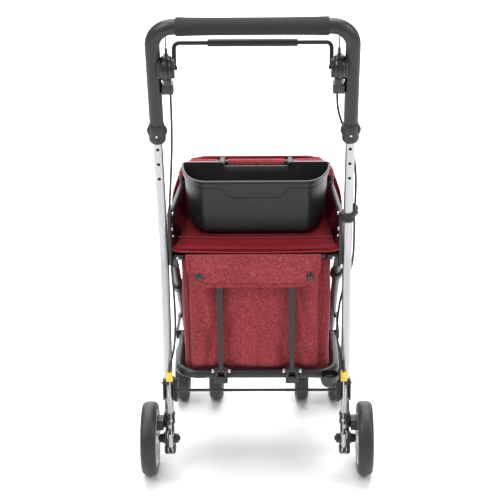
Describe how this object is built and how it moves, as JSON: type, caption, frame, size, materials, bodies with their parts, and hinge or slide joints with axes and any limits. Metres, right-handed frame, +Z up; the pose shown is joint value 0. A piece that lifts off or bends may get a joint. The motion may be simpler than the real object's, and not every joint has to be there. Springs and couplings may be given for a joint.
{
  "type": "folding shopping walker",
  "caption": "Folding walker with a padded seat, shopping bag, lift-out basket, height-adjustable U handle and a full-width hand brake bar; twin front casters swivel.",
  "frame": {"origin": "on the ground under the middle of the bounding box", "axes": "+X to the user's right, +Y in the direction of travel, +Z up"},
  "size_m": [0.5, 0.5652, 1.0319],
  "materials": {
    "aluminium_tube": "satin",
    "black_metal": "gloss",
    "black_plastic": "satin",
    "basket_plastic": "satin",
    "foam": "matt",
    "bright_steel": "satin",
    "rim_plastic": "satin",
    "tyre_rubber": "matt",
    "red_fabric": "woven",
    "dark_red_fabric": "woven",
    "cable_sheath": "satin",
    "band_rubber": "matt",
    "yellow_plastic": "satin"
  },
  "bodies": {
    "frame": {"post_left": "aluminium_tube", "post_right": "aluminium_tube", "side_plates": "black_metal", "seat_rail": "black_metal", "cross_rod": "black_metal", "post_brackets": "black_plastic", "cable_clips": "yellow_plastic", "wheel_carrier_left": "black_plastic", "wheel_carrier_right": "black_plastic", "rear_axles": "bright_steel", "brake_cable_left": "cable_sheath", "brake_cable_right": "cable_sheath", "brake_wires": "bright_steel", "cane_clip": "band_rubber", "bag_hoop": "black_metal", "bag_arch": "red_fabric", "bag": "red_fabric", "pocket_flap": "red_fabric", "pocket_snaps": "bright_steel", "frame_bolts": "bright_steel"},
    "handle": {"handle_tube": "aluminium_tube", "leg_covers": "black_plastic", "foam_grip": "foam", "collars": "black_plastic", "lever_housing_left": "black_plastic", "lever_housing_right": "black_plastic", "handle_screws": "black_metal", "cable_adjusters": "cable_sheath"},
    "lock_left": {"lock_button_left": "bright_steel"},
    "lock_right": {"lock_button_right": "bright_steel"},
    "brake_bar": {"brake_bar": "black_metal", "bar_grip": "foam"},
    "shoe_left": {"brake_shoe_left": "black_plastic"},
    "shoe_right": {"brake_shoe_right": "black_plastic"},
    "wheel_left": {"rear_tyre_left": "tyre_rubber", "rear_rim_left": "rim_plastic", "hub_cap_left": "black_plastic"},
    "wheel_right": {"rear_tyre_right": "tyre_rubber", "rear_rim_right": "rim_plastic", "hub_cap_right": "black_plastic"},
    "front_frame": {"front_tube": "black_metal", "leg_ends": "black_plastic", "caster_sockets": "black_plastic"},
    "caster_left": {"caster_fork_left": "black_plastic"},
    "caster_right": {"caster_fork_right": "black_plastic"},
    "caster_wheels_left": {"caster_hubs_left": "black_plastic", "caster_tyres_left": "tyre_rubber"},
    "caster_wheels_right": {"caster_hubs_right": "black_plastic", "caster_tyres_right": "tyre_rubber"},
    "base": {"base_hoop": "black_metal", "base_links": "black_plastic", "base_board": "black_plastic", "base_clevises": "black_plastic", "base_bolts": "bright_steel", "cane_cup": "black_plastic"},
    "struts": {"struts": "black_metal"},
    "seat": {"seat_board": "black_plastic", "seat_cushion": "dark_red_fabric", "seat_hinges": "black_plastic"},
    "basket": {"basket": "basket_plastic"}
  },
  "joints": [
    {"name": "handle_slide", "type": "slide", "parent": "frame", "child": "handle", "axis": [0, -0.2504, 0.9681], "range_m": [-0.102, 0], "deforming": ["brake_cable_left", "brake_cable_right"]},
    {"name": "lock_press_left", "type": "slide", "parent": "handle", "child": "lock_left", "axis": [0, -0.9681, -0.2504], "range_m": [-0.0025, 0], "stiffness_N_per_m": 400},
    {"name": "lock_press_right", "type": "slide", "parent": "handle", "child": "lock_right", "axis": [0, -0.9681, -0.2504], "range_m": [-0.0025, 0], "stiffness_N_per_m": 400},
    {"name": "brake_squeeze", "type": "hinge", "parent": "handle", "child": "brake_bar", "pos_m": [0, -0.24432, 0.93114], "axis": [1, 0, 0], "range_deg": [0, 16], "stiffness_Nm_per_rad": 2, "springref_deg": -8.59},
    {"name": "shoe_press_left", "type": "hinge", "parent": "frame", "child": "shoe_left", "pos_m": [-0.2065, -0.1154, 0.114], "axis": [1, 0, 0], "range_deg": [-2.2, 0]},
    {"name": "shoe_press_right", "type": "hinge", "parent": "frame", "child": "shoe_right", "pos_m": [0.2065, -0.1154, 0.114], "axis": [1, 0, 0], "range_deg": [-2.2, 0]},
    {"name": "wheel_spin_left", "type": "hinge", "parent": "frame", "child": "wheel_left", "pos_m": [-0.2315, -0.1354, 0.08], "axis": [1, 0, 0], "continuous": true},
    {"name": "wheel_spin_right", "type": "hinge", "parent": "frame", "child": "wheel_right", "pos_m": [0.2315, -0.1354, 0.08], "axis": [1, 0, 0], "continuous": true},
    {"name": "front_fold", "type": "hinge", "parent": "frame", "child": "front_frame", "pos_m": [0, -0.1274, 0.5], "axis": [1, 0, 0], "range_deg": [-26, 0], "deforming": ["bag", "pocket_flap", "pocket_snaps"]},
    {"name": "swivel_left", "type": "hinge", "parent": "front_frame", "child": "caster_left", "pos_m": [-0.141, 0.2396, 0.14], "axis": [0, 0, 1], "continuous": true},
    {"name": "swivel_right", "type": "hinge", "parent": "front_frame", "child": "caster_right", "pos_m": [0.141, 0.2396, 0.14], "axis": [0, 0, 1], "continuous": true},
    {"name": "caster_spin_left", "type": "hinge", "parent": "caster_left", "child": "caster_wheels_left", "pos_m": [-0.141, 0.2176, 0.065], "axis": [1, 0, 0], "continuous": true},
    {"name": "caster_spin_right", "type": "hinge", "parent": "caster_right", "child": "caster_wheels_right", "pos_m": [0.141, 0.2176, 0.065], "axis": [1, 0, 0], "continuous": true},
    {"name": "base_fold", "type": "hinge", "parent": "front_frame", "child": "base", "pos_m": [0, 0.1618, 0.236], "axis": [1, 0, 0], "range_deg": [-26, 0]},
    {"name": "strut_fold", "type": "hinge", "parent": "base", "child": "struts", "pos_m": [0, -0.1484, 0.248], "axis": [1, 0, 0], "range_deg": [0, 36.85]},
    {"name": "seat_fold", "type": "hinge", "parent": "frame", "child": "seat", "pos_m": [0, 0.0496, 0.503], "axis": [1, 0, 0], "range_deg": [-42.75, 0]},
    {"name": "basket_lift", "type": "slide", "parent": "frame", "child": "basket", "axis": [0, 0, 1], "range_m": [0, 0.1601]}
  ],
  "couplings": [
    {"joint": "shoe_press_left", "follows": "brake_squeeze", "ratio": -0.1375},
    {"joint": "shoe_press_right", "follows": "brake_squeeze", "ratio": -0.1375},
    {"joint": "base_fold", "follows": "front_fold", "ratio": 1},
    {"joint": "strut_fold", "follows": "front_fold", "ratio": -1.417},
    {"joint": "seat_fold", "follows": "front_fold", "ratio": 1.644},
    {"joint": "basket_lift", "follows": "front_fold", "m_per_rad": -0.3526}
  ]
}
